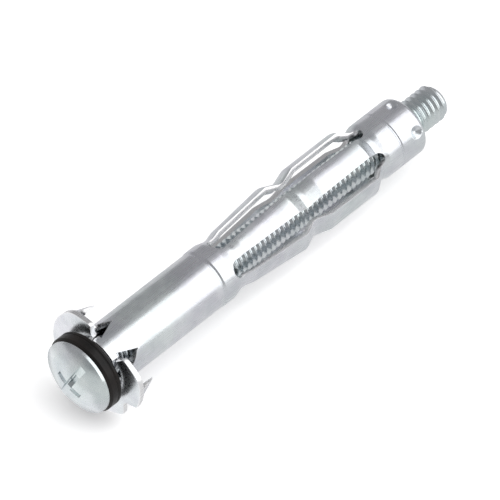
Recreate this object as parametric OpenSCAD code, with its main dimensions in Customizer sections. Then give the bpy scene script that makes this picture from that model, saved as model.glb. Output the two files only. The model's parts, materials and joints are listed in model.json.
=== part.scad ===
// Hollow-wall anchor with a petal flange, folding legs, a tail nut and a machine screw.
// The axis lies along +Y, into the wall. The head is at -Y and +Z is up.
// The origin is on the axis, at the flange's wall-side face. Millimetres.

/* [Sleeve] */
// Outside radius of the plain tube
tube_r = 4.7; // [4.5:0.05:4.9]
// Sheet thickness of the sleeve
sheet = 0.85; // [0.7:0.05:0.9]
// Distance from the flange's wall-side face to the start of the slots
slot_start = 24.2; // [20:0.1:25]
// Radius of the crimped necks at both ends of the legs
neck_r = 4.4; // [4.3:0.05:4.5]
// Length of the tail collar
collar_len = 9.2; // [8.8:0.1:9.6]

/* [Flange] */
// Radius of the flange over its petals
flange_r = 8.75; // [8.5:0.05:9.2]
// Angle of the wide gap, where the tube runs on straight and has no flange
wide_gap_turn = 54; // [30:1:64]
// Radius of the flange in the two notches between its petals
notch_r = 7.2; // [7:0.1:8]
// Width of a notch
notch_w = 4.6; // [3:0.2:5.6]
// Radius of the bend between the tube and the flange, on the wall side
flange_bend = 1.3; // [1:0.1:1.6]
// Distance from the flange to the point of a window in the tube
window_tip = 3.8; // [3.2:0.1:4.5]
// Length of a claw past the flange's wall-side face
claw_len = 2.8; // [2.2:0.1:3.2]

/* [Legs] */
// Length of one half of a leg, from its end fold to its middle fold
leg_half = 14.85; // [14:0.05:16]
// Width of a leg
leg_w = 3.1; // [2.8:0.1:3.6]
// Largest radius of the front half of a leg, at its knee
knee_r = 5.75; // [5.5:0.05:5.9]
// Radius of the rear half of a leg, along its shoulder
shoulder_r = 5.65; // [5.4:0.05:5.8]
// Radius of the waist, where a leg's two halves meet
waist_r = 4.87; // [4.7:0.01:5]

/* [Screw] */
// Outside radius of the thread on the tip that stands out past the nut
thread_r = 2.9; // [2.85:0.05:2.95]
// Radius of the rest of the shank, which stands in for the thread at its pitch radius
shank_r = 2.68; // [2.6:0.01:2.7]
// Length of the screw under its head
screw_len = 75.5; // [74:0.5:80]
// Radius of the screw's head
head_r = 6.02; // [5.8:0.02:6.3]
// Height of the domed head
head_h = 2.6; // [2.4:0.1:3]
// Radius of the washer under the head
washer_r = 6.33; // [6.2:0.01:6.6]
// Thickness of the washer
washer_h = 2.3; // [1.8:0.1:2.6]
// Clear gap between the washer and the flange
washer_gap = 0.95; // [0.5:0.05:1]

/* [Hidden] */
$fn = 96;
zinc = [0.78, 0.80, 0.82];
zinc_dark = [0.68, 0.71, 0.74];
black = [0.08, 0.08, 0.09];
leg_count = 5;
leg_step = 360 / leg_count;
// Angle of the first leg, from +X towards +Z
leg_clock = 68;
running_gap = 0.05;
fold_gap = 0.06;
// Outside radius of the bends along a leg
leg_bend = 1.2;
// Lengths along a leg: its flat necks and waist, and the rises beside them
neck_flat = 0.4;
neck_rise = 1.9;
neck_rise_r = neck_r + 0.4;
knee_back = 2.6;
waist_flat = 0.35;
shoulder_start = 2.8;
shoulder_stop = 2.25;
bore_r = tube_r - sheet;

// Stations along the axis
fold_front = slot_start + 1.55;
fold_mid = fold_front + leg_half;
fold_rear = fold_mid + leg_half;
slot_end = fold_rear + 0.75;
collar_end = fold_rear + collar_len;
ring_y = slot_start - 2.6;
ring_depth = 0.12;
ring_front = 0.25;
ring_rear = 0.35;
hump_r = tube_r + 0.1;
hump_end = slot_start - 0.3;
crimp_end = fold_front - 0.35;
slot_half = 0.95;

// Head, washer and recess
washer_back = -sheet - washer_gap;
head_seat = washer_back - washer_h;
head_rim = 0.6;
bevel_r = 5.1;
bevel_rise = 0.55;
tip_chamfer = 0.8;
// Distance from the nut to the thread that stands out
tip_gap = 0.25;
slot_clock = 64;
drive_slot_w = 1.1;
drive_slot_depth = 1.15;
cross_w = 1.05;
cross_reach = 2.5;
cross_depth = 1.9;
washer_edge = 0.35;

// Collar, nut and stakes
crimp_start = fold_rear + 0.5;
collar_start = fold_rear + 1.4;
nut_gap = 0.03;
nut_r = bore_r - nut_gap;
nut_len = 5.8;
nut_proud = 0.5;
nut_lip_r = 3.35;
nut_edge = 0.2;
nut_wall_r = thread_r + running_gap;
stake_r = 1.35;
stake_y = collar_end - 1.8;
stake_depth = 0.5;
crease_y = collar_end - 5.1;
crease_half = 0.2;
roll_start = collar_end - 0.8;
roll_r = tube_r - 0.75;

// Angles of the gap, notches, windows and claws, from +X towards +Z
wide_gap_clock = 71;
notch_clocks = [-38, 208];
window_lead = 2.5;
window_base = 0.35;
window_half = 1.45;
claw_clocks = [125, -7, 245];
claw_w = 2.6;
claw_lean = 16;

// The arc of radius r that rounds the corner q between the points p and s
function unit(v) = v / norm(v);
function corner_arc(p, q, s, r, n = 3) =
    let (u = unit(p - q), w = unit(s - q), half = acos(u * w) / 2)
    let (centre = q + unit(u + w) * r / sin(half), reach = r / tan(half))
    let (first = q + u * reach - centre, last = q + w * reach - centre)
    [for (k = [0:n]) centre + r * unit(first * (n - k) + last * k)];

// A path with its inner corners rounded to the radius r
function rounded(path, r) =
    [path[0], for (k = [1:len(path) - 2]) each corner_arc(path[k - 1], path[k], path[k + 1], r),
     path[len(path) - 1]];

// The path moved sideways by t, towards the axis for a path that runs along +Y
function normal_at(path, k) =
    let (before = path[max(k - 1, 0)], after = path[min(k + 1, len(path) - 1)])
    let (along = unit(after - before))
    [-along[1], along[0]];
function moved(path, t) = [for (k = [0:len(path) - 1]) path[k] + t * normal_at(path, k)];
function reversed(path) = [for (k = [len(path) - 1:-1:0]) path[k]];

// Turns a solid drawn about +Z so that its axis lies along +Y
module along_y() {
    rotate([-90, 0, 0]) children();
}

// Revolves a profile of [radius, distance along the axis] points about the Y axis
module turned(profile) {
    along_y() rotate_extrude() polygon(profile);
}

// Turns children drawn at +X about the Y axis to the angle from +X towards +Z
module at_angle(angle) {
    rotate([0, -angle, 0]) children();
}

function leg_angle(i) = leg_clock - leg_step * (i - 1);

// Sheet strip of the leg's width between two stations, cut from a revolved profile
module leg_strip(outer, y_low, y_high) {
    intersection() {
        turned(concat(outer, reversed(moved(outer, sheet))));
        translate([0, y_low, -leg_w / 2]) cube([knee_r + 1, y_high - y_low, leg_w]);
    }
}

// Front half of a leg, from its neck over the knee to the waist
module leg_front(i) {
    outer = rounded([
        [neck_r, fold_front - 1],
        [neck_r, fold_front + neck_flat],
        [neck_rise_r, fold_front + neck_rise],
        [knee_r, fold_mid - knee_back],
        [waist_r, fold_mid - waist_flat],
        [waist_r, fold_mid + 1]], leg_bend);
    color(zinc) at_angle(leg_angle(i))
        leg_strip(outer, fold_front + fold_gap, fold_mid - fold_gap);
}

// Rear half of a leg, from the waist along the shoulder to its neck
module leg_rear(i) {
    outer = rounded([
        [waist_r, fold_mid - 1],
        [waist_r, fold_mid + waist_flat],
        [shoulder_r, fold_mid + shoulder_start],
        [shoulder_r, fold_rear - shoulder_stop],
        [neck_r, fold_rear - neck_flat],
        [neck_r, fold_rear + 1]], leg_bend);
    color(zinc) at_angle(leg_angle(i))
        leg_strip(outer, fold_mid + fold_gap, fold_rear - fold_gap);
}

// Claw bent back from a petal's rim
module claw() {
    translate([flange_r - sheet, 0, 0])
        rotate([0, 0, claw_lean])
            linear_extrude_x(sheet)
                polygon([[-claw_w / 2, -sheet], [claw_w / 2, -sheet], [0.15, claw_len]]);
}

// Extrudes an outline of [across, along the axis] points along +X by the thickness t
module linear_extrude_x(t) {
    rotate([0, 90, 0]) mirror([1, 0, 0]) linear_extrude(t) children();
}

// Notch between two petals, where the flange is cut back
module notch() {
    translate([notch_r, -sheet - 1, -notch_w / 2]) cube([flange_r, sheet + 2, notch_w]);
}

// Wedge of the wide gap's angle, from the front of the sleeve to the end of the flange's bend
module wide_wedge(y_low) {
    reach = 2 * flange_r;
    half = wide_gap_turn / 2;
    translate([0, y_low, 0]) along_y() linear_extrude(flange_bend - y_low)
        polygon([[0, 0], reach * [cos(half), sin(half)], reach * [cos(half), -sin(half)]]);
}

// Pointed window in the tube's wall behind a petal
module tube_window() {
    translate([bore_r - 2, 0, 0])
        linear_extrude_x(flange_r)
            polygon([[-window_half, window_base], [window_half, window_base], [0, window_tip]]);
}

// Slot with a round end at y_round, open towards y_open
module leg_slot(y_round, y_open) {
    translate([tube_r - 2 * sheet, y_round, 0])
        rotate([0, 90, 0]) cylinder(r = slot_half, h = 3 * sheet);
    translate([tube_r - 2 * sheet, min(y_round, y_open), -slot_half])
        cube([3 * sheet, abs(y_open - y_round), 2 * slot_half]);
}

// Flange, claws and plain tube, up to the front folds
module expansion_sleeve() {
    bend = flange_bend;
    inner_bend = bend + sheet;
    steps = 6;
    outer_flare = [for (k = [0:steps]) let (a = 90 * k / steps)
        [tube_r + bend - bend * sin(a), bend - bend * cos(a)]];
    inner_flare = [for (k = [steps:-1:0]) let (a = 90 * k / steps)
        [tube_r + bend - inner_bend * sin(a), bend - inner_bend * cos(a)]];
    tube_outer = [
        [tube_r, ring_y - ring_front],
        [tube_r - ring_depth, ring_y],
        [hump_r, ring_y + ring_rear],
        [hump_r, hump_end],
        [neck_r, crimp_end],
        [neck_r, fold_front - fold_gap]];
    tube_inner = [
        [neck_r - sheet, fold_front - fold_gap],
        [neck_r - sheet, crimp_end],
        [bore_r, hump_end]];
    color(zinc) {
        difference() {
            turned(concat([[flange_r, -sheet], [flange_r, 0]], outer_flare, tube_outer,
                tube_inner, inner_flare));
            for (i = [1:leg_count]) at_angle(leg_angle(i) + leg_step / 2)
                leg_slot(slot_start + slot_half, fold_front + 1);
            at_angle(wide_gap_clock) wide_wedge(-sheet - 1);
            for (angle = notch_clocks) at_angle(angle) notch();
            for (i = [1:leg_count]) at_angle(leg_angle(i) + leg_step / 2 + window_lead)
                tube_window();
        }
        difference() {
            intersection() {
                turned([[bore_r, -sheet], [tube_r, -sheet], [tube_r, flange_bend], [bore_r, flange_bend]]);
                at_angle(wide_gap_clock) wide_wedge(-sheet - 1);
            }
            for (i = [1:leg_count]) at_angle(leg_angle(i) + leg_step / 2 + window_lead)
                tube_window();
        }
        for (angle = claw_clocks) at_angle(angle) claw();
    }
}

// Round end of the sleeve, crimped over the nut and staked into it
module tail_collar() {
    profile = [
        [neck_r, fold_rear + fold_gap],
        [neck_r, crimp_start],
        [tube_r, collar_start],
        [tube_r, crease_y - crease_half],
        [tube_r - ring_depth, crease_y],
        [tube_r, crease_y + crease_half],
        [tube_r, roll_start],
        [(tube_r + 1.5 * roll_r) / 2.5, collar_end - 0.2],
        [roll_r, collar_end],
        [nut_lip_r + nut_gap, collar_end],
        [nut_lip_r + nut_gap, collar_end - 0.35],
        [bore_r, roll_start - nut_gap],
        [bore_r, collar_start],
        [neck_r - sheet, crimp_start],
        [neck_r - sheet, fold_rear + fold_gap]];
    color(zinc) difference() {
        turned(profile);
        for (i = [1:leg_count]) at_angle(leg_angle(i) + leg_step / 2) {
            leg_slot(slot_end - slot_half, fold_rear - 1);
            translate([tube_r + stake_r - stake_depth, stake_y, 0]) sphere(r = stake_r);
        }
    }
}

// Nut held in the tail collar, its thread as a plain wall
module threaded_nut() {
    back = collar_end + nut_proud;
    front = back - nut_len;
    color(zinc_dark) turned([
        [nut_wall_r, front],
        [nut_r, front],
        [nut_r, roll_start - 0.1],
        [nut_lip_r, collar_end - 0.4],
        [nut_lip_r, back - nut_edge],
        [nut_lip_r - nut_edge, back],
        [nut_wall_r, back]]);
}

// Washer that stays on the screw under its head
module washer() {
    color(black) turned([
        [thread_r + running_gap, head_seat],
        [head_r - 0.1, head_seat],
        [washer_r, head_seat + washer_edge],
        [washer_r, washer_back - washer_edge],
        [washer_r - washer_edge, washer_back],
        [thread_r + running_gap, washer_back]]);
}

// Straight slot across the head and a cross recess at its centre, drawn about +Z
module drive_recess() {
    rotate([0, 0, -slot_clock]) {
        translate([-head_r - 1, -drive_slot_w / 2, 0])
            cube([2 * head_r + 2, drive_slot_w, head_h]);
        for (a = [0, 90]) rotate([0, 0, a])
            translate([-cross_reach, -cross_w / 2, drive_slot_depth - cross_depth])
                cube([2 * cross_reach, cross_w, head_h]);
    }
}

// Screw with its domed head, its thread as a plain shank
module machine_screw() {
    rim_top = head_seat - head_rim;
    bevel_top = rim_top - bevel_rise;
    dome_h = head_h - head_rim - bevel_rise;
    dome_r = (bevel_r * bevel_r + dome_h * dome_h) / (2 * dome_h);
    steps = 10;
    dome = [for (k = [0:steps]) let (r = bevel_r * (steps - k) / steps)
        [r, bevel_top - dome_h + dome_r - sqrt(dome_r * dome_r - r * r)]];
    tip = head_seat + screw_len;
    tip_start = collar_end + nut_proud + tip_gap;
    recess_floor = bevel_top - dome_h + drive_slot_depth;
    color(zinc_dark) difference() {
        turned(concat([
            [0, tip],
            [thread_r - tip_chamfer, tip],
            [thread_r, tip - tip_chamfer],
            [thread_r, tip_start],
            [shank_r, tip_start],
            [shank_r, head_seat],
            [head_r - 0.1, head_seat],
            [head_r, head_seat - 0.1],
            [head_r, rim_top]], dome));
        translate([0, recess_floor, 0]) rotate([90, 0, 0]) drive_recess();
    }
}

expansion_sleeve();
leg_front(1);  // leg_front_1
leg_front(2);  // leg_front_2
leg_front(3);  // leg_front_3
leg_front(4);  // leg_front_4
leg_front(5);  // leg_front_5
leg_rear(1);  // leg_rear_1
leg_rear(2);  // leg_rear_2
leg_rear(3);  // leg_rear_3
leg_rear(4);  // leg_rear_4
leg_rear(5);  // leg_rear_5
tail_collar();
threaded_nut();
washer();
machine_screw();
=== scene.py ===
"""Looks of a hollow-wall anchor: sheet-metal sleeve, folding legs, nut, washer and screw.

The object's lengths are in millimetres until a mesh is made, and the stage's are in metres. The
axis is +Y, and an angle runs from +X towards +Z, in degrees.
"""

import json
import math

import bmesh
import bpy
import numpy as np
from mathutils import Matrix, Vector

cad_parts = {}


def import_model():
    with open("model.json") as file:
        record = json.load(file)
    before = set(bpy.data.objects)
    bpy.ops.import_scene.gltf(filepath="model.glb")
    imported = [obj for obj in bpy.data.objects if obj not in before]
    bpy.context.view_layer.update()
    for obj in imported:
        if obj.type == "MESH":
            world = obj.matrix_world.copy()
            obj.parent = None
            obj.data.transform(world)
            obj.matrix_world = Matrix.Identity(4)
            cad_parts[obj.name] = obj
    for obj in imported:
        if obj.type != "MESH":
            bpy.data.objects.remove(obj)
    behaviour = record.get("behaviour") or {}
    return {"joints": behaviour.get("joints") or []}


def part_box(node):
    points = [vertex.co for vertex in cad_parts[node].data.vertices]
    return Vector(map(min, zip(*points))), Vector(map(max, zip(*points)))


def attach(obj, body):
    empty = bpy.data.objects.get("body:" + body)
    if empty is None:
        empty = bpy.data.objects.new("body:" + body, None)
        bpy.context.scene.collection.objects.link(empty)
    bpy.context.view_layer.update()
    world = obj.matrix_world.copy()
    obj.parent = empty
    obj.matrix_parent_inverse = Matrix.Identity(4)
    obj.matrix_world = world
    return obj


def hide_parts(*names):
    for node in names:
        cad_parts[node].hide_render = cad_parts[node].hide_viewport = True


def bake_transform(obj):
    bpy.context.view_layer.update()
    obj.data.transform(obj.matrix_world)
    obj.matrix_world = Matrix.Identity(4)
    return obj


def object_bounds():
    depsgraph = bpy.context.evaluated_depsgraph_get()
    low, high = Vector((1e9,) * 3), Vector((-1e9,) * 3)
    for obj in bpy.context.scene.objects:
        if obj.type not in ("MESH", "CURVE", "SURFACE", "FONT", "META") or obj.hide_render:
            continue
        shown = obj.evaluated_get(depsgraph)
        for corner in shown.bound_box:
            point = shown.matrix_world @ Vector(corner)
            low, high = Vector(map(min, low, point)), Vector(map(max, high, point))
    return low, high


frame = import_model()
cad_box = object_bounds()

MM = 0.001
JOINTS = {joint["name"]: joint for joint in frame["joints"]}


def node_size(node):
    """Lowest and highest corner of a CAD node, in millimetres."""
    low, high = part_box(node)
    return low / MM, high / MM


def joint_place(name):
    """Angle, radius and distance along the axis of a hinge's pin."""
    x, y, z = (value / MM for value in JOINTS[name]["pos_m"])
    return math.degrees(math.atan2(z, x)), math.hypot(x, z), y


# Sleeve and legs, from the folds' places and the nodes' boxes
LEGS = 5
LEG_STEP = 360 / LEGS
LEG_CLOCK, NECK_R, FOLD_FRONT = joint_place("fold_front_1")
FOLD_MID = joint_place("fold_mid_1")[2]
FOLD_REAR = joint_place("fold_tail")[2]
SHEET = -node_size("expansion_sleeve")[0].y
TUBE_R = 4.7
SLOT_START = FOLD_FRONT - 1.55
SLOT_STOP = FOLD_REAR + 0.75
SLOT_ROUND = 1.0  # stretch at a slot's end that gets extra rows
SLOT_ROUND_ROWS = 8

# Stations where one grid or skin ends and the next begins
JUNCTION = 12.0
SLEEVE_STOP = FOLD_FRONT - 0.45
SPAN_CUTS = (FOLD_FRONT + 7.0, FOLD_REAR - 7.0)
TAIL_CUT = FOLD_REAR + 0.45

# Legs: half widths, radii and stations of the profile, bends and rows
LEG_HALF_FRONT = 1.3
LEG_HALF_WAIST = 1.85
LEG_HALF_REAR = 1.65
WAIST_R = 4.87
KNEE_R = 5.75
SHOULDER_R = 5.65
NECK_FLAT = 0.4
KNEE_LIFT = 0.4
KNEE_START = FOLD_FRONT + 1.9
KNEE_STOP = FOLD_MID - 2.6
WAIST_FLAT = 0.35
SHOULDER_START = FOLD_MID + 2.8
SHOULDER_STOP = FOLD_REAR - 2.25
LEG_RUN_ON = (1.0, 2.0)  # how far the profile runs on past its two ends
LEG_BEND = 1.2  # radius of the bends
LEG_ROW = 0.3  # longest step between rows
FOLD_FINE = 0.6  # reach of the finer rows beside a fold
FOLD_ROWS = 13

# Flange, petals and windows
FLANGE_R = 8.75
FLANGE_BEND = 1.3
PETAL_CAMBER = 0.14  # how far the rim leans towards the wall
WIDE_GAP = 70.5  # angle of the middle of the gap between two petals
WIDE_GAP_HALF = 28.0
WIDE_GAP_CORNER_R = 7.25  # radius of the rim beside the gap
WIDE_GAP_FADE = 33.0  # angle over which the rim rises to its full radius
WIDE_GAP_ROUND = 6.0  # angle over which the corner is rounded
WIDE_GAP_DROP = 0.45  # how far the rounded corner falls
NOTCHES = (-38.0, 208.0)  # angles of the small gaps between petals
NOTCH_HALF = 16.0
NOTCH_R = 6.85
NOTCH_POWER = 0.8
WINDOW_LEAD = 2.5  # angle of a window past the slot behind it
WINDOW_BASE = 0.35  # station where a window is widest
WINDOW_TIP = 3.9  # station of its narrow end
WINDOW_HALF = 17.0  # half angle where it is widest
WINDOW_LEAST = 0.05  # smallest share of that half angle, at the tip
PETAL_SIDE_HALF = 24.0  # the same on the side under a petal beside the gap
PETAL_SIDE_RISE = 1.7  # length over which such a side widens
WINDOW_COLUMNS = 8.5  # half angle of the columns that are cut out for a window
WINDOW_FADE = 2.6  # length behind the tip where the columns spread evenly again
PULL_REACH = LEG_STEP / 2.4  # how far from a window its columns are moved

# Rows of the flange's grid: rim to bend, bend, window and plain tube
FLANGE_ROWS = 10
BEND_ROWS = 9
BASE_ROW = 4  # row of the bend where the windows start
WINDOW_ROWS = 12
TUBE_ROWS = (4.3, 4.8, 5.5, 6.5, 8.0, 10.0, JUNCTION)
SPARE_ROW = 0.1  # step between rows that have no faces

# Claws: angle and sweep of each, then their shape
CLAWS = ((134.0, -8.0), (-14.0, 8.0), (245.0, 0.0))
CLAW_OUT_R = 9.05
CLAW_HALF = 1.9
CLAW_REACH = 3.2
CLAW_BEND = 0.5
CLAW_LEAN = 16.0  # how far a claw is bent past square
CLAW_ROOT = 0.5  # length of a claw inside the rim
CLAW_POINT = 0.06  # share of its width at the tip
CLAW_TAPER = 1.25  # share of its width that it gains along its length
CLAW_SWEEP_POWER = 0.8
CLAW_THIN = 0.3  # share of the sheet's thickness at the tip
CLAW_COLUMNS = 6
CLAW_ROWS = 8

# Ring, hump and slotted neck of the tube
RING = SLOT_START - 2.6
RING_DEPTH = 0.12
RING_HALF = 0.3
RING_ROWS = 7
HUMP_R = TUBE_R + 0.1
HUMP_RISE = (RING - 0.1, RING + 0.35)  # stations of the step up
HUMP_FALL = (SLOT_START - 0.3, FOLD_FRONT - 0.35)  # stations of the step down
HUMP_BEND = 0.9
HUMP_ROW = 0.45

# Collar, its crease, its stakes and its rolled end
COLLAR_END = node_size("tail_collar")[1].y
COLLAR_RISE = (FOLD_REAR + 0.5, FOLD_REAR + 1.4)
CREASE = COLLAR_END - 5.1
CREASE_HALF = 0.25
LIP_R = 3.4  # radius of the hole in the rolled end
ROLL_R = 0.95
ROLL_START = COLLAR_END - ROLL_R - 0.02
STAKE = COLLAR_END - 1.8
STAKE_R = 1.0
STAKE_SIDE = 0.75  # width of a stake's sloping side
STAKE_DEPTH = 0.7
STAKE_ROW = 0.11
STAKE_ROWS = np.arange(CREASE + 0.45, COLLAR_END - ROLL_R - 0.05, STAKE_ROW)
PLAIN_ROWS = np.linspace(FOLD_REAR + 1.8, CREASE - 0.4, 6)

# Nut
NUT_LOW, NUT_HIGH = (corner.y for corner in node_size("threaded_nut"))
NUT_R = node_size("threaded_nut")[1].x
NUT_PLAY = 0.05
NUT_CHAMFER = 0.2
NUT_CONE = (COLLAR_END - ROLL_R - 0.1, COLLAR_END - 0.4)  # stations of the step down
NUT_EDGE = 0.05

# Washer
WASHER_LOW, WASHER_HIGH = (corner.y for corner in node_size("washer"))
WASHER_R = node_size("washer")[1].x
WASHER_PLAY = 0.1
WASHER_SLOPE = 0.35
WASHER_CHAMFER = 0.25
WASHER_EDGE = 0.06
WASHER_GROOVE = WASHER_LOW + 0.68 * (WASHER_HIGH - WASHER_LOW)
WASHER_GROOVE_SIDES = (0.2, 0.14)
WASHER_GROOVE_DEPTH = 0.12

# Screw head and its recesses
HEAD_TOP, SCREW_TIP = (corner.y for corner in node_size("machine_screw"))
HEAD_R = node_size("machine_screw")[1].x
HEAD_SEAT = WASHER_LOW
HEAD_CHAMFER = 0.1
HEAD_RIM = 0.6
BEVEL_R = 5.1  # radius where the bevel meets the dome
BEVEL_RISE = 0.55
DOME_RINGS = 13
SLOT_CLOCK = 64.0  # angle of the straight slot
SLOT_W = 1.1
SLOT_DEPTH = 1.15
CROSS_W = 1.05
CROSS_REACH = 2.5
CROSS_DEPTH = 1.9
CROSS_SHRINK = 0.6
CUTTER_SPARE = 1.0

# Screw thread, with its profile as [share of a pitch, radius]
CREST_R = 2.9
ROOT_R = 2.5
CREST_ROUND = 0.03  # how far the crest's edges fall
THREAD_PROFILE = [[0.0, ROOT_R], [0.18, ROOT_R], [0.5, CREST_R - CREST_ROUND],
                  [0.56, CREST_R], [0.62, CREST_R], [0.68, CREST_R - CREST_ROUND]]
PITCH = 1.0
TIP_CHAMFER = 0.8
THREAD_START = -1.5  # no shank is modelled between the head's seat and here
THREAD_COLUMNS = 40

# Grids and edges
COLUMNS = 72
TURN_COLUMNS = 128
EDGE = 0.07  # width of the bevels
EDGE_STEPS = 2
HEAD_EDGE_ANGLE = 24  # the head's edges sharper than this are beveled
SHARP_ANGLE = 38  # edges sharper than this aren't shaded smooth
SAME_PLACE = 1e-7  # in metres
NEAR = 1e-4
SEAM_NEAR = 1e-3

# Materials: scales of the noise, stretch of the scratches, and colours
TINT_SCALE = 120
CLOUD_SCALE = 330
SCRATCH_SCALE = 2600
GRAIN_SCALE = 5200
SCRATCH_STRETCH = (1, 0.07, 1)
COOL_TINT = (0.97, 0.965, 1.0)
GREEN_TINT = (0.955, 1.0, 0.99)
# Painted highlight along the cut edges, its colour varied by the grain
EDGE_HIGHLIGHT_DARK = (0.86, 0.86, 0.87)
EDGE_HIGHLIGHT_LIGHT = (0.97, 0.97, 0.97)
BLACK_CLOUD_SCALE = 300
BLACK_GRAIN_SCALE = 2400
BLACK_DARK = (0.006, 0.006, 0.006)
BLACK_LIGHT = (0.016, 0.013, 0.012)

# Stage, in metres. A direction leads from the target to the light or the camera
TARGET = (0.00057, 0.03093, -0.00036)  # the point that the camera and lights face
CAMERA_SIDE = (0.463, -0.485, 0.742)
CAMERA_DISTANCE = 2.03
CAMERA_LENS = 1000
SOFTBOX_SIDE = (0.596, 0.485, 0.640)
BEFORE_HEAD = (-0.463, -0.485, -0.742)
FILL_SIDE = (0.1, -0.2, 1.0)
BELOW = (0, 0, -1)
FLOOR_HALF = 3.0
FLOOR_GAP = 0.0003
FLOOR_WHITE = (0.95, 0.95, 0.95)
FLOOR_GLOW = 0.25
WORLD_LEVEL = 0.34
WORLD_BLUE = 1.02


# ---------------------------------------------------------------- paths and grids


def corner_arc(before, corner, after, radius, steps):
    """Points of the arc that rounds a corner of a path."""
    back = (before - corner) / np.linalg.norm(before - corner)
    forth = (after - corner) / np.linalg.norm(after - corner)
    half = math.acos(np.clip(back @ forth, -1, 1)) / 2
    middle = (back + forth) / np.linalg.norm(back + forth)
    centre = corner + middle * radius / math.sin(half)
    first = corner + back * radius / math.tan(half) - centre
    last = corner + forth * radius / math.tan(half) - centre
    mixed = [first * (1 - k / steps) + last * k / steps for k in range(steps + 1)]
    return [centre + m * radius / np.linalg.norm(m) for m in mixed]


def rounded(path, radius, steps=5):
    """A path of [radius, along] points with its inner corners rounded."""
    path = [np.array(p, float) for p in path]
    points = [path[0]]
    for before, corner, after in zip(path, path[1:], path[2:]):
        points += corner_arc(before, corner, after, radius, steps)
    return np.array(points + [path[-1]])


def refined(path, step):
    """The path with points added so that none are further apart than step."""
    points = [path[0]]
    for start, stop in zip(path, path[1:]):
        count = max(1, math.ceil(np.linalg.norm(stop - start) / step - 1e-6))
        points += [start + (stop - start) * k / count for k in range(1, count + 1)]
    return np.array(points)


def between(path, low, high):
    """The stretch of a path that lies between two stations along the axis."""
    def at(station):
        """Point of the path at a station."""
        return np.array([np.interp(station, path[:, 1], path[:, 0]), station])

    inside = path[(path[:, 1] > low + NEAR) & (path[:, 1] < high - NEAR)]
    return np.vstack([at(low), inside, at(high)])


def smooth(value):
    """Smooth step from 0 to 1."""
    value = np.clip(value, 0, 1)
    return value * value * (3 - 2 * value)


def turned_points(radius, along, angle):
    """Points at the given radius and station, turned to the given angle in degrees."""
    angle = np.radians(angle)
    return np.stack([radius * np.cos(angle), along + 0 * angle, radius * np.sin(angle)], axis=-1)


def inner_face(radius, along, thickness):
    """Radius and station of the sheet's other face, offset square to each column's path."""
    d_radius, d_along = np.gradient(radius, axis=0), np.gradient(along, axis=0)
    length = np.hypot(d_radius, d_along)
    return radius - thickness * d_along / length, along + thickness * d_radius / length


# ---------------------------------------------------------------- meshes


def make_object(name, points, faces, material, cut=None, bevels=()):
    """A smooth-shaded object from points in millimetres. Bevels are pairs of point numbers."""
    mesh = bpy.data.meshes.new(name)
    mesh.from_pydata((np.asarray(points) * MM).tolist(), [], [list(f) for f in faces])
    # The cut edges' points are stored as a mask for the painted highlight along them.
    if cut is not None:
        mesh.attributes.new("edge_highlight", "FLOAT", "POINT").data.foreach_set(
            "value", np.asarray(cut, np.float32)
        )
    work = bmesh.new()
    work.from_mesh(mesh)
    if bevels:
        weights = work.edges.layers.float.new("bevel_weight_edge")
        wanted = {frozenset(pair) for pair in bevels}
        for edge in work.edges:
            if frozenset(v.index for v in edge.verts) in wanted:
                edge[weights] = 1.0
    bmesh.ops.recalc_face_normals(work, faces=work.faces)
    bmesh.ops.delete(work, geom=[v for v in work.verts if not v.link_faces], context="VERTS")
    work.to_mesh(mesh)
    work.free()
    thing = bpy.data.objects.new(name, mesh)
    bpy.context.scene.collection.objects.link(thing)
    mesh.materials.append(material)
    if bevels:
        bevel = thing.modifiers.new("edges", "BEVEL")
        bevel.limit_method = "WEIGHT"
        bevel.width = EDGE * MM
        bevel.segments = EDGE_STEPS
        apply_modifiers(thing)
    shade(thing)
    return thing


def apply_modifiers(thing):
    """Bakes an object's modifiers into its mesh."""
    graph = bpy.context.evaluated_depsgraph_get()
    mesh = bpy.data.meshes.new_from_object(thing.evaluated_get(graph))
    thing.modifiers.clear()
    thing.data = mesh


def shade(thing):
    """Smooth shading, with the sharper edges kept sharp."""
    thing.data.polygons.foreach_set("use_smooth", [True] * len(thing.data.polygons))
    thing.data.set_sharp_from_angle(angle=math.radians(SHARP_ANGLE))


def sheet_loops(grids, numbers):
    """Loops of point numbers round the kept quads of all grids, without repeated points."""
    loops, used = [], 0
    for outer, _, keep in grids:
        rows, columns = outer.shape[:2]
        number = numbers[used:used + rows * columns].reshape(rows, columns)
        used += rows * columns
        for row, column in zip(*np.nonzero(keep)):
            corners = [number[row, column], number[row, column + 1],
                       number[row + 1, column + 1], number[row + 1, column]]
            loop = [int(c) for k, c in enumerate(corners) if c != corners[k - 1]]
            if len(set(loop)) > 2:
                loops.append(loop)
    return loops


def sheet(name, grids, material, seams=()):
    """Closed sheet metal from grids of (outer points, inner points, kept quads). Points that
    coincide are joined, and every cut edge is walled and beveled, except at the seams."""
    flat_outer = np.vstack([outer.reshape(-1, 3) for outer, _, _ in grids])
    flat_inner = np.vstack([inner.reshape(-1, 3) for _, inner, _ in grids])
    first, numbers = np.unique(
        np.round(flat_outer, 4) + 0.0, axis=0, return_index=True, return_inverse=True
    )[1:]
    count = len(first)
    points = np.vstack([flat_outer[first], flat_inner[first]])
    loops = sheet_loops(grids, numbers.reshape(-1))
    sides = {(a, b) for loop in loops for a, b in zip(loop, loop[1:] + loop[:1])}
    rim = [(a, b) for a, b in sides if (b, a) not in sides]
    faces = loops + [[c + count for c in reversed(loop)] for loop in loops]
    faces += [[b, a, a + count, b + count] for a, b in rim]

    def on_seam(a, b):
        """Whether both ends of an edge lie on one seam."""
        ends = (points[a][1], points[b][1])
        return any(all(abs(end - seam) < SEAM_NEAR for end in ends) for seam in seams)

    open_rim = [(a, b) for a, b in rim if not on_seam(a, b)]
    bevels = open_rim + [(a + count, b + count) for a, b in open_rim]
    # Points on the beveled rims are marked for the painted highlight along the cut edges.
    cut = np.zeros(len(points))
    cut[[v for pair in bevels for v in pair]] = 1.0
    return make_object(name, points, faces, material, cut, bevels)


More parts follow.
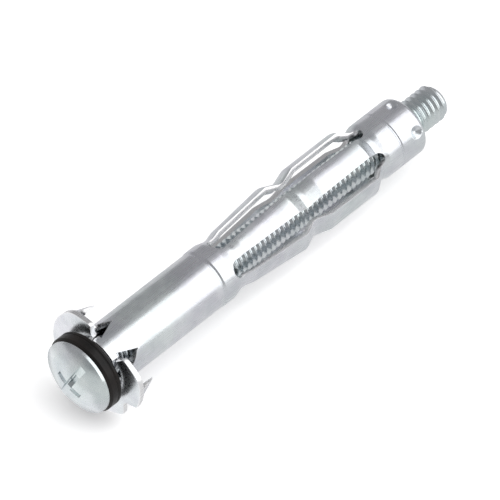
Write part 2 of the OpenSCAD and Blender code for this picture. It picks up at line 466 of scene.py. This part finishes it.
def merge_close(thing):
    """Joins coincident points, drops what collapses and makes the normals point outwards."""
    work = bmesh.new()
    work.from_mesh(thing.data)
    bmesh.ops.remove_doubles(work, verts=work.verts, dist=SAME_PLACE)
    bmesh.ops.dissolve_degenerate(work, edges=work.edges, dist=SAME_PLACE)
    loose = [e for e in work.edges if not e.link_faces]
    bmesh.ops.delete(work, geom=loose, context="EDGES")
    bmesh.ops.recalc_face_normals(work, faces=work.faces)
    work.to_mesh(thing.data)
    work.free()
    shade(thing)


def revolved(name, profile, material):
    """Closed ring or solid from a closed profile of [radius, along] points."""
    profile = np.asarray(profile, float)
    turns = TURN_COLUMNS
    angles = np.arange(turns) * 360 / turns
    points = turned_points(profile[:, 0][:, None], profile[:, 1][:, None], angles[None, :])
    rows = len(profile)
    faces = []
    for row in range(rows):
        after = (row + 1) % rows
        if profile[row, 0] == profile[after, 0] == 0:
            continue
        for k in range(turns):
            nxt = (k + 1) % turns
            faces.append([row * turns + k, row * turns + nxt,
                          after * turns + nxt, after * turns + k])
    thing = make_object(name, points.reshape(-1, 3), faces, material)
    merge_close(thing)
    return thing


def join(name, things):
    """Joins objects into the first one."""
    target = things[0]
    work = bmesh.new()
    for thing in things:
        work.from_mesh(thing.data)
    work.to_mesh(target.data)
    work.free()
    target.name = name
    for thing in things[1:]:
        bpy.data.objects.remove(thing)
    shade(target)
    return target


# ---------------------------------------------------------------- sleeve


def off_angle(angle, centre):
    """Signed difference of two angles, from -180 to 180 degrees."""
    return (angle - centre + 180) % 360 - 180


def window_angle(k):
    """Angle of the middle of a window."""
    return LEG_CLOCK + LEG_STEP * (k + 0.5) + WINDOW_LEAD


def window_side(station, half, rise):
    """Angle from a window's middle to one of its sides, which widens from the tip over the rise."""
    spread = np.clip((WINDOW_TIP - station) / rise, WINDOW_LEAST, 1)
    fade = float(smooth((station - WINDOW_TIP) / WINDOW_FADE))
    return half * spread * (1 - fade) + WINDOW_COLUMNS * fade


def even_angles(columns):
    """Angles of evenly spaced columns, from the slot beside the first leg."""
    return LEG_CLOCK + LEG_STEP / 2 - columns * LEG_STEP / COLUMNS


def column_angles(station):
    """Angles of the columns at a station of the plain tube, gathered round the windows' sides. The
    windows beside the wide gap open further under their petals."""
    plain = even_angles(np.arange(LEGS * COLUMNS + 1))
    narrow = window_side(station, WINDOW_HALF, WINDOW_TIP - WINDOW_BASE)
    wide = window_side(station, PETAL_SIDE_HALF, PETAL_SIDE_RISE)
    angle = plain.copy()
    for k in range(LEGS):
        off = off_angle(plain, window_angle(k))
        gap_side = off_angle(WIDE_GAP, window_angle(k))
        under_petal = (abs(gap_side) < LEG_STEP) & (off * gap_side < 0)
        side = np.where(under_petal, wide, narrow)
        inside = np.abs(off) * side / WINDOW_COLUMNS
        share = (PULL_REACH - np.abs(off)) * (PULL_REACH - side) / (PULL_REACH - WINDOW_COLUMNS)
        pulled = np.where(np.abs(off) < WINDOW_COLUMNS, inside, PULL_REACH - share)
        angle += np.where(np.abs(off) < PULL_REACH, np.sign(off) * pulled - off, 0)
    return angle


def flange_rim(angle):
    """Radius of the flange's rim: lower beside the wide gap and in the notches."""
    beside = np.abs(off_angle(angle, WIDE_GAP)) - WIDE_GAP_HALF
    rim = WIDE_GAP_CORNER_R + (FLANGE_R - WIDE_GAP_CORNER_R) * smooth(beside / WIDE_GAP_FADE)
    rim = rim - WIDE_GAP_DROP * np.clip(1 - beside / WIDE_GAP_ROUND, 0, 1) ** 2
    for notch in NOTCHES:
        share = np.clip(1 - np.abs(off_angle(angle, notch)) / NOTCH_HALF, 0, 1)
        rim = rim - (rim - NOTCH_R) * smooth(share) ** NOTCH_POWER
    return rim


def petal_rows(angles, straight):
    """Radius, station and angles of each row from the rim to the bend. Straight columns are those
    of the wide gap, where these rows are spare."""
    rim, bend_end = flange_rim(angles), TUBE_R + FLANGE_BEND
    rows = []
    for k in range(FLANGE_ROWS):
        out = 1 - k / FLANGE_ROWS
        spare = -SHEET - SPARE_ROW * (FLANGE_ROWS - k)
        rows.append((np.where(straight, TUBE_R, bend_end + (rim - bend_end) * out),
                     np.where(straight, spare, PETAL_CAMBER * out ** 2), angles))
    return rows


def bend_rows(straight):
    """Radius, station and angles of each row of the bend. In the wide gap the tube runs on
    straight, as far as the flange's near face."""
    turns = [math.radians(90 * (1 - k / BEND_ROWS)) for k in range(BEND_ROWS)]
    base = FLANGE_BEND * (1 - math.sin(turns[BASE_ROW]))
    rows = []
    for k, turn in enumerate(turns):
        station = FLANGE_BEND * (1 - math.sin(turn))
        end = -SHEET + (base + SHEET) * k / BASE_ROW if k < BASE_ROW else station
        rows.append((np.where(straight, TUBE_R, TUBE_R + FLANGE_BEND * (1 - math.cos(turn))),
                     np.where(straight, end, station),
                     column_angles(max(station, WINDOW_BASE))))
    return rows


def flange_keep(rows, straight):
    """Which quads of the flange's grid are metal: not the windows, nor the flange in the gap."""
    keep = np.ones((rows - 1, len(straight) - 1), bool)
    keep &= straight[1:] == straight[:-1]
    keep[:FLANGE_ROWS, :] &= ~straight[1:] & ~straight[:-1]
    keep[FLANGE_ROWS + BEND_ROWS:, :] = True
    plain = even_angles(np.arange(LEGS * COLUMNS) + 0.5)
    open_rows = slice(FLANGE_ROWS + BASE_ROW, FLANGE_ROWS + BEND_ROWS + WINDOW_ROWS - 1)
    for k in range(LEGS):
        keep[open_rows, np.abs(off_angle(plain, window_angle(k))) < WINDOW_COLUMNS] = False
    return keep


def flange_grid():
    """Grid of the flange, its bend and the tube as far as the junction."""
    at_base = column_angles(WINDOW_BASE)
    straight = np.abs(off_angle(at_base, WIDE_GAP)) < WIDE_GAP_HALF
    rows = petal_rows(at_base, straight) + bend_rows(straight)
    for station in np.r_[np.linspace(FLANGE_BEND, WINDOW_TIP, WINDOW_ROWS), TUBE_ROWS]:
        rows.append((np.full_like(at_base, TUBE_R), np.full_like(at_base, station),
                     column_angles(station)))
    radius, along, angles = (np.array(part) for part in zip(*rows))
    inner_r, inner_y = inner_face(radius, along, SHEET)
    outer, inner = turned_points(radius, along, angles), turned_points(inner_r, inner_y, angles)
    return outer, inner, flange_keep(len(rows), straight)


def leg_half_angle(path):
    """Half of the angle that a leg takes at each point of its path. It is widest at its waist."""
    half = np.interp(path[:, 1], [FOLD_FRONT, FOLD_MID, FOLD_REAR],
                     [LEG_HALF_FRONT, LEG_HALF_WAIST, LEG_HALF_REAR])
    return np.degrees(np.arcsin(half / path[:, 0]))


def sector_grid(leg, path, half, detail=None):
    """Grid of one leg's sector along a path of [radius, along], with half its angle at each row."""
    across = np.linspace(1, -1, COLUMNS + 1)
    angle = LEG_CLOCK - LEG_STEP * leg + across[None, :] * np.asarray(half)[:, None]
    radius, along = path[:, :1] + 0 * angle, path[:, 1:] + 0 * angle
    inner_r, inner_y = inner_face(radius, along, SHEET)
    if detail is not None:
        radius = radius - detail(along, angle)
    keep = np.ones((len(path) - 1, COLUMNS), bool)
    return turned_points(radius, along, angle), turned_points(inner_r, inner_y, angle), keep


def slot_end_half(path, end, way):
    """Half angle of a leg's sector beside the round end of a slot. way is 1 if the slot opens
    towards +Y, and -1 if it opens towards -Y."""
    full = LEG_STEP / 2 - leg_half_angle(path)
    round_r = path[:, 0] * np.radians(full)
    depth = np.clip((path[:, 1] - end) * way / round_r, 0, 1)
    return LEG_STEP / 2 - full * np.sqrt(1 - (1 - depth) ** 2)


def with_stations(path, stations):
    """The path with a point added at each station."""
    merged = np.unique(np.round(np.r_[path[:, 1], stations], 4))
    return np.stack([np.interp(merged, path[:, 1], path[:, 0]), merged], axis=1)


def slot_end_stations(end, way):
    """Stations of the rows round the end of a slot that opens the given way."""
    turns = np.radians(np.linspace(0, 90, SLOT_ROUND_ROWS))
    return end + way * SLOT_ROUND * (1 - np.cos(turns))


def groove(along, centre, depth, half):
    """Depth of a round-bottomed ring groove."""
    return depth * np.clip(1 - ((along - centre) / half) ** 2, 0, 1)


def neck_grids():
    """Grids of the tube from the junction over the ring and the hump to the slotted neck."""
    path = rounded([
        [TUBE_R, JUNCTION],
        [TUBE_R, HUMP_RISE[0]],
        [HUMP_R, HUMP_RISE[1]],
        [HUMP_R, HUMP_FALL[0]],
        [NECK_R, HUMP_FALL[1]],
        [NECK_R, FOLD_FRONT]], HUMP_BEND, steps=4)
    path = refined(between(path, JUNCTION, SLEEVE_STOP), HUMP_ROW)
    path = with_stations(path, slot_end_stations(SLOT_START, 1))
    path = with_stations(path, RING + np.linspace(-RING_HALF, RING_HALF, RING_ROWS))
    path = path[path[:, 1] <= SLEEVE_STOP + NEAR]

    def ring(along, _):
        """Depth of the ring at each point."""
        return groove(along, RING, RING_DEPTH, RING_HALF)

    half = slot_end_half(path, SLOT_START, 1)
    return [sector_grid(leg, path, half, ring) for leg in range(LEGS)]


def claw_path():
    """Profile of a claw's back from its tip to its root inside the petal's rim."""
    lean = math.radians(90 + CLAW_LEAN)
    start_r = CLAW_OUT_R - SHEET - CLAW_BEND
    path = [[start_r - CLAW_ROOT, 0.0]]
    path += [[start_r + CLAW_BEND * math.sin(t), CLAW_BEND * (1 - math.cos(t))]
             for t in np.linspace(0, lean, CLAW_ROWS)]
    last = np.array(path[-1])
    heading = np.array([math.cos(lean), math.sin(lean)])
    length = (CLAW_REACH - last[1]) / heading[1]
    path += [last + heading * length * k / CLAW_ROWS for k in range(1, CLAW_ROWS + 1)]
    return np.array(path)[::-1]


def claw(angle, sweep):
    """Grid of a pointed claw, bent back from a petal's rim. The sweep turns its tip by an angle."""
    path = claw_path()
    travelled = np.r_[0, np.cumsum(np.linalg.norm(np.diff(path, axis=0), axis=1))]
    share = (travelled / travelled[-1])[:, None]
    across = np.linspace(1, -1, CLAW_COLUMNS + 1)[None, :]
    sideways = across * CLAW_HALF * np.clip(CLAW_POINT + CLAW_TAPER * share, 0, 1)
    sideways = sideways + math.radians(sweep) * FLANGE_R * (1 - share) ** CLAW_SWEEP_POWER
    back_r, back_y = path[:, :1] + 0 * across, path[:, 1:] + 0 * across
    front_r, front_y = inner_face(back_r, back_y, -SHEET * np.clip(CLAW_THIN + share, 0, 1))

    def placed(radius, along):
        """Points of the claw, turned to its angle round the axis."""
        turned = math.radians(angle)
        x = radius * math.cos(turned) - sideways * math.sin(turned)
        z = radius * math.sin(turned) + sideways * math.cos(turned)
        return np.stack([x, along, z], axis=-1)

    keep = np.ones((len(path) - 1, CLAW_COLUMNS), bool)
    return placed(back_r, back_y), placed(front_r, front_y), keep


def expansion_sleeve(material):
    """Flange with petals, windows and claws, and the tube up to the slotted neck."""
    body = sheet("sleeve", [flange_grid()] + neck_grids(), material, seams=(SLEEVE_STOP,))
    claws = [sheet("claw", [claw(*place)], material) for place in CLAWS]
    return join("expansion_sleeve_skin", [body] + claws)


# ---------------------------------------------------------------- legs and collar


def leg_path():
    """The leg's outer profile, from front neck over knee, waist and shoulder to rear neck."""
    return refined(rounded([
        [NECK_R, SLEEVE_STOP - LEG_RUN_ON[0]],
        [NECK_R, FOLD_FRONT + NECK_FLAT],
        [NECK_R + KNEE_LIFT, KNEE_START],
        [KNEE_R, KNEE_STOP],
        [WAIST_R, FOLD_MID - WAIST_FLAT],
        [WAIST_R, FOLD_MID + WAIST_FLAT],
        [SHOULDER_R, SHOULDER_START],
        [SHOULDER_R, SHOULDER_STOP],
        [NECK_R, FOLD_REAR - NECK_FLAT],
        [NECK_R, FOLD_REAR + LEG_RUN_ON[1]]], LEG_BEND), LEG_ROW)


def leg_span(name, leg, low, high, material):
    """One stretch of a leg between two stations, which are its seams."""
    fine = np.linspace(-FOLD_FINE, FOLD_FINE, FOLD_ROWS)
    stations = np.concatenate([fold + fine for fold in (FOLD_FRONT, FOLD_MID, FOLD_REAR)])
    path = between(with_stations(leg_path(), stations), low, high)
    half = np.maximum(slot_end_half(path, SLOT_START, 1), slot_end_half(path, SLOT_STOP, -1))
    return sheet(name, [sector_grid(leg, path, half)], material, (low, high))


def legs(material):
    """Each leg in three stretches, which meet where the leg is straight."""
    made = []
    front_cut, rear_cut = SPAN_CUTS
    for leg in range(LEGS):
        k = leg + 1
        tail_end = TAIL_CUT if leg == 0 else FOLD_REAR
        front = leg_span(f"leg_front_fold_{k}", leg, SLEEVE_STOP, front_cut, material)
        middle = leg_span(f"leg_middle_fold_{k}", leg, front_cut, rear_cut, material)
        rear = leg_span(f"leg_rear_fold_{k}", leg, rear_cut, tail_end, material)
        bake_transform(front)
        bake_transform(middle)
        if leg == 0:
            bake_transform(rear)
        else:
            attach(rear, f"rear_leg_{k}")
        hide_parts(f"leg_front_{k}")
        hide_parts(f"leg_rear_{k}")
        made += [front, middle, rear]
    return made


def stake_depth(along, angle):
    """Depth of the round stakes, which lie in line with the slots."""
    depth = 0 * angle
    for k in range(LEGS):
        off = np.radians(off_angle(angle, LEG_CLOCK + LEG_STEP * (k + 0.5))) * TUBE_R
        away = np.hypot(off, along - STAKE)
        depth = depth + STAKE_DEPTH * np.clip((STAKE_R - away) / STAKE_SIDE, 0, 1)
    return depth


def collar_path():
    """The collar's outer profile, with rows where its slots, crease and stakes need them."""
    path = rounded([
        [NECK_R, FOLD_REAR],
        [NECK_R, COLLAR_RISE[0]],
        [TUBE_R, COLLAR_RISE[1]],
        [TUBE_R, COLLAR_END],
        [LIP_R, COLLAR_END]], ROLL_R, steps=7)
    straight = path[path[:, 1] < ROLL_START]
    roll = path[len(straight):]
    straight = np.vstack([straight, [TUBE_R, ROLL_START]])
    crease_rows = CREASE + np.linspace(-CREASE_HALF, CREASE_HALF, RING_ROWS)
    stations = np.r_[
        slot_end_stations(SLOT_STOP, -1), TAIL_CUT, PLAIN_ROWS, crease_rows, STAKE_ROWS]
    straight = with_stations(straight, stations[stations < straight[-1, 1]])
    return np.vstack([straight, roll])


def tail_collar(material):
    """Slotted neck, creased collar, stakes and the end rolled in over the nut. The first leg's
    sector starts at its own seam, because that leg also bends into the tail."""
    path = collar_path()

    def detail(along, angle):
        """Depth of the crease and the stakes at each point."""
        return groove(along, CREASE, RING_DEPTH, CREASE_HALF) + stake_depth(along, angle)

    half = slot_end_half(path, SLOT_STOP, -1)
    half = np.where(path[:, 1] > SLOT_STOP, LEG_STEP / 2, half)
    grids = [sector_grid(leg, path, half, detail) for leg in range(LEGS)]
    grids[0][2][path[:-1, 1] < TAIL_CUT - SEAM_NEAR, :] = False
    return sheet("tail_collar_skin", grids, material, seams=(FOLD_REAR, TAIL_CUT))


# ---------------------------------------------------------------- nut, washer and screw


def closed(profile, radius):
    """A closed profile with every corner rounded."""
    return rounded([profile[-1]] + profile + [profile[0]], radius, steps=4)[1:-1]


def threaded_nut(material):
    """Nut in the collar, with its lip standing out of the rolled end."""
    lip_r = LIP_R - NUT_PLAY
    hole_r = CREST_R + NUT_PLAY
    return revolved("threaded_nut_skin", closed([
        [hole_r, NUT_LOW],
        [NUT_R, NUT_LOW],
        [NUT_R, NUT_CONE[0]],
        [lip_r, NUT_CONE[1]],
        [lip_r, NUT_HIGH - NUT_CHAMFER],
        [lip_r - NUT_CHAMFER, NUT_HIGH],
        [hole_r, NUT_HIGH]], NUT_EDGE), material)


def washer(material):
    """Black washer with rounded rims and a fine groove behind its middle."""
    hole_r = CREST_R + WASHER_PLAY
    before, behind = WASHER_GROOVE_SIDES
    return revolved("washer_skin", closed([
        [hole_r, WASHER_LOW],
        [HEAD_R - HEAD_CHAMFER, WASHER_LOW],
        [WASHER_R, WASHER_LOW + WASHER_SLOPE],
        [WASHER_R, WASHER_GROOVE - before],
        [WASHER_R - WASHER_GROOVE_DEPTH, WASHER_GROOVE],
        [WASHER_R, WASHER_GROOVE + behind],
        [WASHER_R, WASHER_HIGH - WASHER_CHAMFER],
        [WASHER_R - WASHER_CHAMFER, WASHER_HIGH],
        [hole_r, WASHER_HIGH]], WASHER_EDGE), material)


def thread_grid():
    """Points of a thread that climbs one pitch a turn, as rows of points round the axis. Both ends
    are cut off square, and the tip is chamfered."""
    profile = np.array(THREAD_PROFILE) * [PITCH, 1]
    turn_count = math.ceil((SCREW_TIP - THREAD_START) / PITCH) + 2
    offsets = (np.arange(turn_count)[:, None] * PITCH + profile[None, :, 0]).ravel()
    radii = np.tile(profile[:, 1], turn_count)
    angle = np.arange(THREAD_COLUMNS + 1) * 360 / THREAD_COLUMNS
    wanted = THREAD_START - PITCH + offsets[:, None] + PITCH * angle[None, :] / 360
    along = np.clip(wanted, THREAD_START, SCREW_TIP)
    phase = np.mod(along - THREAD_START - PITCH * angle[None, :] / 360, PITCH)
    cyclic = np.vstack([profile, [PITCH, ROOT_R]])
    radius = np.where(wanted == along, radii[:, None], np.interp(phase, cyclic[:, 0], cyclic[:, 1]))
    radius = np.minimum(radius, CREST_R - TIP_CHAMFER + (SCREW_TIP - along))
    return turned_points(radius, along, angle[None, :])


def thread(material):
    """Screw thread, closed by a fan of faces at both ends."""
    grid = thread_grid()
    rows, columns = grid.shape[:2]
    first, last = rows * columns, rows * columns + 1
    points = np.vstack([grid.reshape(-1, 3), [0, THREAD_START, 0], [0, SCREW_TIP, 0]])
    faces = []
    for row in range(rows - 1):
        for k in range(columns - 1):
            low = row * columns + k
            faces.append([low, low + 1, low + columns + 1, low + columns])
    for k in range(columns - 1):
        faces.append([first, k + 1, k])
        end = (rows - 1) * columns + k
        faces.append([last, end, end + 1])
    thing = make_object("thread", points, faces, material)
    merge_close(thing)
    return thing


def wedge(name, reach, width, top, bottom, turn, shrink):
    """Cutter for a recess: a bar across the axis that narrows towards its bottom."""
    turn = math.radians(turn)
    points = []
    for along, scale in ((top, 1.0), (bottom, shrink)):
        for out, side in ((-1, -1), (1, -1), (1, 1), (-1, 1)):
            x, z = out * reach * scale, side * width / 2 * scale
            points.append([x * math.cos(turn) - z * math.sin(turn), along,
                           x * math.sin(turn) + z * math.cos(turn)])
    faces = [[0, 1, 2, 3], [7, 6, 5, 4], [0, 4, 5, 1], [1, 5, 6, 2], [2, 6, 7, 3], [3, 7, 4, 0]]
    return make_object(name, points, faces, None)


def head_blank(material):
    """Low domed head with a bevel, before its recesses are cut."""
    rim_top = HEAD_SEAT - HEAD_RIM
    dome_h = rim_top - BEVEL_RISE - HEAD_TOP
    dome_r = (BEVEL_R ** 2 + dome_h ** 2) / (2 * dome_h)
    out = BEVEL_R * np.linspace(1, 0, DOME_RINGS)
    dome = [[r, HEAD_TOP + dome_r - math.sqrt(dome_r ** 2 - r ** 2)] for r in out]
    return revolved("head", [
        [0, HEAD_SEAT],
        [HEAD_R - HEAD_CHAMFER, HEAD_SEAT],
        [HEAD_R, HEAD_SEAT - HEAD_CHAMFER],
        [HEAD_R, rim_top]] + dome, material)


def screw_head(material):
    """Head with a straight slot and a cross recess cut in, and its edges beveled."""
    head = head_blank(material)
    cross_bottom = HEAD_TOP + CROSS_DEPTH
    cutters = [
        wedge("slot", HEAD_R + CUTTER_SPARE, SLOT_W, HEAD_TOP - CUTTER_SPARE,
              HEAD_TOP + SLOT_DEPTH, SLOT_CLOCK, 1.0),
        wedge("bar", CROSS_REACH, CROSS_W, HEAD_TOP, cross_bottom, SLOT_CLOCK, CROSS_SHRINK),
        wedge("cross", CROSS_REACH, CROSS_W, HEAD_TOP, cross_bottom, SLOT_CLOCK + 90, CROSS_SHRINK)]
    for cutter in cutters:
        cut = head.modifiers.new(cutter.name, "BOOLEAN")
        cut.operation = "DIFFERENCE"
        cut.solver = "EXACT"
        cut.object = cutter
    bevel = head.modifiers.new("edges", "BEVEL")
    bevel.limit_method = "ANGLE"
    bevel.angle_limit = math.radians(HEAD_EDGE_ANGLE)
    bevel.width = EDGE * MM
    bevel.segments = EDGE_STEPS
    apply_modifiers(head)
    for cutter in cutters:
        bpy.data.objects.remove(cutter)
    return head


def machine_screw(material):
    """Head and threaded shank, as two closed shells that don't touch."""
    return join("machine_screw_skin", [screw_head(material), thread(material)])


# ---------------------------------------------------------------- materials


def feed(tree, socket, value):
    """Gives an input socket a value or another node's socket."""
    if isinstance(value, bpy.types.NodeSocket):
        tree.links.new(value, socket)
    else:
        socket.default_value = value


def add(tree, kind, **values):
    """A new node, with a value or another node's socket for each named input."""
    made = tree.nodes.new(kind)
    for key, value in values.items():
        feed(tree, made.inputs[key.replace("_", " ")], value)
    return made


def noise(tree, coords, scale, detail=3.0, stretch=(1, 1, 1)):
    """Noise from 0 to 1 at the object's own coordinates, stretched along its axes."""
    spread = add(tree, "ShaderNodeMapping", Vector=coords, Scale=stretch).outputs["Vector"]
    return add(tree, "ShaderNodeTexNoise", Vector=spread, Scale=scale, Detail=detail).outputs["Fac"]


def ramp(tree, factor, first, last):
    """Colour that changes with a factor. The first and the last stop are a place and a colour."""
    made = add(tree, "ShaderNodeValToRGB", Fac=factor)
    for element, (place, colour) in zip(made.color_ramp.elements, (first, last)):
        element.position, element.color = place, (*colour, 1)
    return made.outputs["Color"]


def blended(tree, factor, first, second, mode="MIX"):
    """Two colours mixed by a factor."""
    made = tree.nodes.new("ShaderNodeMix")
    made.data_type = "RGBA"
    made.blend_type = mode
    for number, value in ((0, factor), (6, first), (7, second)):
        feed(tree, made.inputs[number], value)
    return made.outputs[2]


def ranged(tree, value, low, high):
    """A value from 0.3 to 0.7, where noise mostly lies, spread over another range."""
    return add(tree, "ShaderNodeMapRange", Value=value, From_Min=0.3, From_Max=0.7,
               To_Min=low, To_Max=high).outputs["Result"]


def new_material(name):
    """Material with its node tree, shader and the object's own coordinates."""
    material = bpy.data.materials.new(name)
    material.use_nodes = True
    tree = material.node_tree
    coords = tree.nodes.new("ShaderNodeTexCoord").outputs["Object"]
    return material, tree, tree.nodes["Principled BSDF"], coords


def zinc(name, dark, light, rough):
    """Bright zinc plate: cloudy, faintly scratched along the axis, with a painted highlight along
    its cut edges.
    """
    material, tree, shader, coords = new_material(name)
    clouds = noise(tree, coords, CLOUD_SCALE, detail=5.0)
    scratches = noise(tree, coords, SCRATCH_SCALE, detail=4.0, stretch=SCRATCH_STRETCH)
    grain = noise(tree, coords, GRAIN_SCALE)
    plate = ramp(tree, clouds, (0.34, dark), (0.66, light))
    tint = ramp(tree, noise(tree, coords, TINT_SCALE), (0.38, COOL_TINT), (0.62, GREEN_TINT))
    colour = blended(tree, 1.0, plate, tint, "MULTIPLY")
    # Painted highlight: the marked cut edges get a lighter, grained colour.
    edge = add(tree, "ShaderNodeAttribute")
    edge.attribute_name = "edge_highlight"
    highlight_colour = ramp(tree, grain, (0.3, EDGE_HIGHLIGHT_DARK), (0.7, EDGE_HIGHLIGHT_LIGHT))
    feed(tree, shader.inputs["Base Color"], blended(tree, edge.outputs["Fac"], colour, highlight_colour))
    feed(tree, shader.inputs["Metallic"], 1.0)
    feed(tree, shader.inputs["Roughness"], ranged(tree, scratches, *rough))
    fine = add(tree, "ShaderNodeBump", Height=grain, Strength=0.06, Distance=0.00003)
    drawn = add(tree, "ShaderNodeBump", Height=scratches, Strength=0.10, Distance=0.00005,
                Normal=fine.outputs["Normal"])
    feed(tree, shader.inputs["Normal"], drawn.outputs["Normal"])
    return material


def black_finish(name):
    """Black, slightly glossy coating with fine grain."""
    material, tree, shader, coords = new_material(name)
    grain = noise(tree, coords, BLACK_GRAIN_SCALE, detail=4.0)
    clouds = noise(tree, coords, BLACK_CLOUD_SCALE)
    colour = ramp(tree, clouds, (0.35, BLACK_DARK), (0.65, BLACK_LIGHT))
    feed(tree, shader.inputs["Base Color"], colour)
    feed(tree, shader.inputs["Roughness"], ranged(tree, grain, 0.28, 0.46))
    feed(tree, shader.inputs["Specular IOR Level"], 0.2)
    bump = add(tree, "ShaderNodeBump", Height=grain, Strength=0.2, Distance=0.00005)
    feed(tree, shader.inputs["Normal"], bump.outputs["Normal"])
    return material


# ---------------------------------------------------------------- stage


def in_scene(thing):
    """Adds an object to the scene."""
    bpy.context.scene.collection.objects.link(thing)
    return thing


def floor():
    """Pale, faintly glowing floor just under the CAD's lowest point. Reflections and shadow rays
    don't meet it, so the metal reflects the panel under it instead."""
    height = cad_box[0][2] - FLOOR_GAP
    corners = [(x * FLOOR_HALF, y * FLOOR_HALF, height)
               for x, y in ((-1, -1), (1, -1), (1, 1), (-1, 1))]
    mesh = bpy.data.meshes.new("floor")
    mesh.from_pydata(corners, [], [(0, 1, 2, 3)])
    thing = in_scene(bpy.data.objects.new("floor", mesh))
    material = bpy.data.materials.new("floor_white")
    material.use_nodes = True
    shader = material.node_tree.nodes["Principled BSDF"]
    shader.inputs["Base Color"].default_value = (*FLOOR_WHITE, 1)
    shader.inputs["Roughness"].default_value = 0.9
    shader.inputs["Specular IOR Level"].default_value = 0.1
    shader.inputs["Emission Color"].default_value = (1, 1, 1, 1)
    shader.inputs["Emission Strength"].default_value = FLOOR_GLOW
    mesh.materials.append(material)
    thing.visible_glossy = False
    thing.visible_shadow = False


def area_light(name, toward, distance, size, radiance, mirrored=True):
    """Rectangular light that faces the target, with its first side along the object."""
    data = bpy.data.lights.new(name, "AREA")
    data.shape = "RECTANGLE"
    data.size, data.size_y = size
    data.energy = radiance * math.pi * size[0] * size[1]
    thing = in_scene(bpy.data.objects.new(name, data))
    toward = Vector(toward).normalized()
    along = (Vector((0, 1, 0)) - toward * toward.y).normalized()
    turn = Matrix((along, toward.cross(along), toward)).transposed()
    thing.location = Vector(TARGET) + toward * distance
    thing.rotation_euler = turn.to_euler()
    thing.visible_camera = False
    thing.visible_glossy = mirrored


def world():
    """Even grey surroundings."""
    made = bpy.data.worlds.new("studio")
    made.use_nodes = True
    background = made.node_tree.nodes["Background"]
    background.inputs["Color"].default_value = (
        WORLD_LEVEL, WORLD_LEVEL, WORLD_LEVEL * WORLD_BLUE, 1)
    background.inputs["Strength"].default_value = 1.0
    bpy.context.scene.world = made


def camera():
    """Long-lens camera that looks at the target."""
    data = bpy.data.cameras.new("camera")
    data.lens = CAMERA_LENS
    data.sensor_width = 36
    data.clip_start, data.clip_end = 0.1, 20
    thing = in_scene(bpy.data.objects.new("camera", data))
    toward = Vector(CAMERA_SIDE).normalized()
    thing.location = Vector(TARGET) + toward * CAMERA_DISTANCE
    thing.rotation_euler = toward.to_track_quat("Z", "Y").to_euler()
    bpy.context.scene.camera = thing


def stage():
    """Floor, lights, surroundings and camera. The panels are what the metal reflects: a softbox
    above, one under the floor and one before the head. The fill only lights, unreflected."""
    floor()
    area_light("softbox", SOFTBOX_SIDE, distance=0.5, size=(0.8, 0.75), radiance=1.25)
    area_light("table", BELOW, distance=0.012, size=(3.0, 3.0), radiance=0.36)
    area_light("head_panel", BEFORE_HEAD, distance=0.5, size=(0.5, 0.5), radiance=0.3)
    area_light("fill", FILL_SIDE, distance=1.6, size=(2.0, 2.0), radiance=1.5, mirrored=False)
    world()
    camera()
    bpy.context.scene.view_settings.view_transform = "Standard"


# ---------------------------------------------------------------- the scene


def place(piece, node, body, slot):
    """Hides the CAD node that a piece stands for and puts the piece on its body. The slot is not
    used.
    """
    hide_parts(node)
    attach(piece, body)


def build():
    """Every piece of the object. All but the legs are put on their bodies here, and legs() puts the
    rear stretches of all but the first leg on theirs.
    """
    sleeve_zinc = zinc("sleeve_zinc", (0.70, 0.71, 0.735), (0.85, 0.86, 0.87), (0.22, 0.36))
    nut_zinc = zinc("nut_zinc", (0.66, 0.68, 0.70), (0.82, 0.83, 0.84), (0.26, 0.42))
    screw_zinc = zinc("screw_zinc", (0.66, 0.70, 0.71), (0.83, 0.85, 0.85), (0.20, 0.34))
    black = black_finish("washer_black")
    place(expansion_sleeve(sleeve_zinc), "expansion_sleeve", "sleeve", "sleeve_zinc")
    place(tail_collar(sleeve_zinc), "tail_collar", "tail", "sleeve_zinc")
    for piece in legs(sleeve_zinc):
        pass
    place(threaded_nut(nut_zinc), "threaded_nut", "tail", "nut_zinc")
    place(washer(black), "washer", "washer", "washer_black")
    place(machine_screw(screw_zinc), "machine_screw", "screw", "screw_zinc")


build()
stage()
